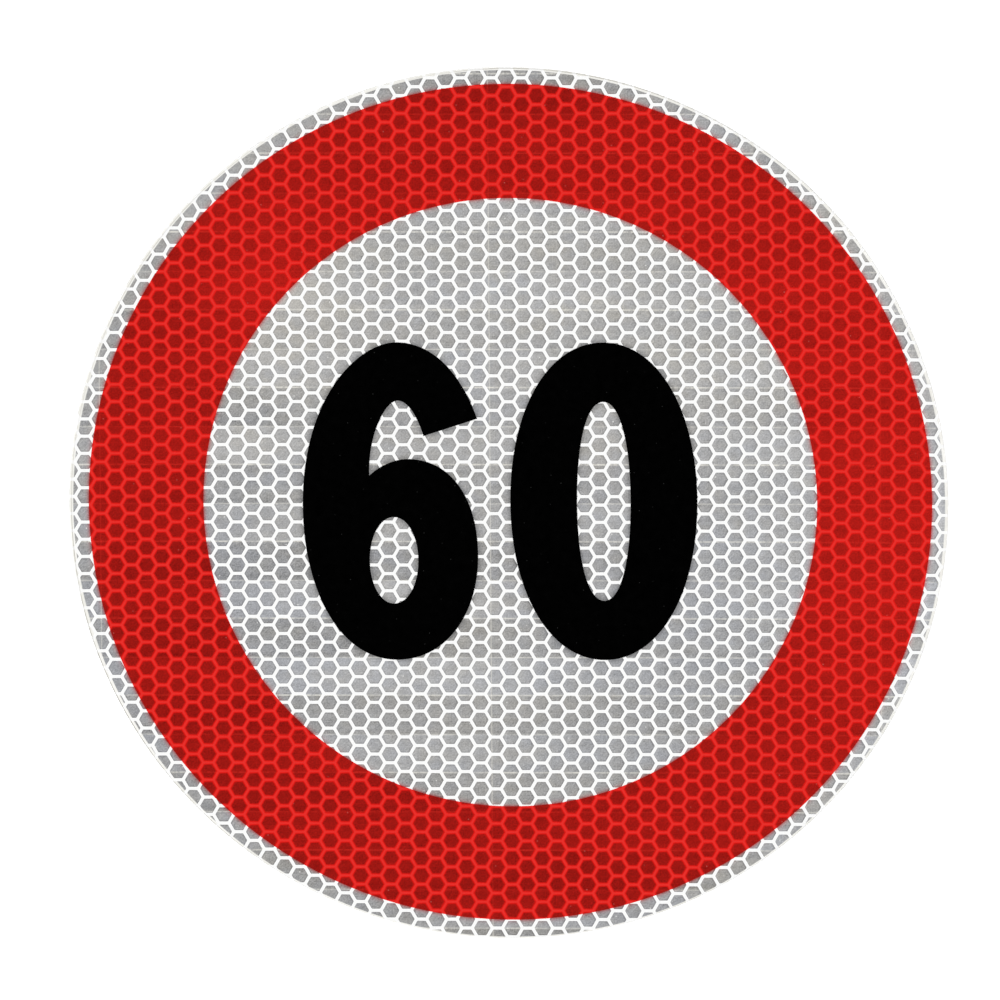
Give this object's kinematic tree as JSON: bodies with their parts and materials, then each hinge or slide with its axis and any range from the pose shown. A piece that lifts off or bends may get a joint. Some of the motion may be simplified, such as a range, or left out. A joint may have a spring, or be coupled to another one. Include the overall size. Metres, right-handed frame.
{
  "type": "vehicle speed limit disc",
  "caption": "Round flat reflective speed limit disc showing 60 in black inside a red ring, with a self-adhesive back.",
  "frame": {"origin": "centre of the disc's back face", "axes": "+Z out of the printed face, +Y towards the tops of the digits, +X to the right as read"},
  "size_m": [0.2, 0.2, 0.0005],
  "materials": {
    "white_film": "white polyester backing film with a pressure-sensitive adhesive",
    "prism_film": "glossy microprismatic reflective film, grey cells between white honeycomb seals",
    "red_print": "translucent red screen print over the reflective film",
    "black_print": "opaque black screen print"
  },
  "bodies": {
    "root": {"backing_film": "white_film", "prism_film": "prism_film", "red_ring": "red_print", "digit_6": "black_print", "digit_0": "black_print"}
  },
  "joints": []
}
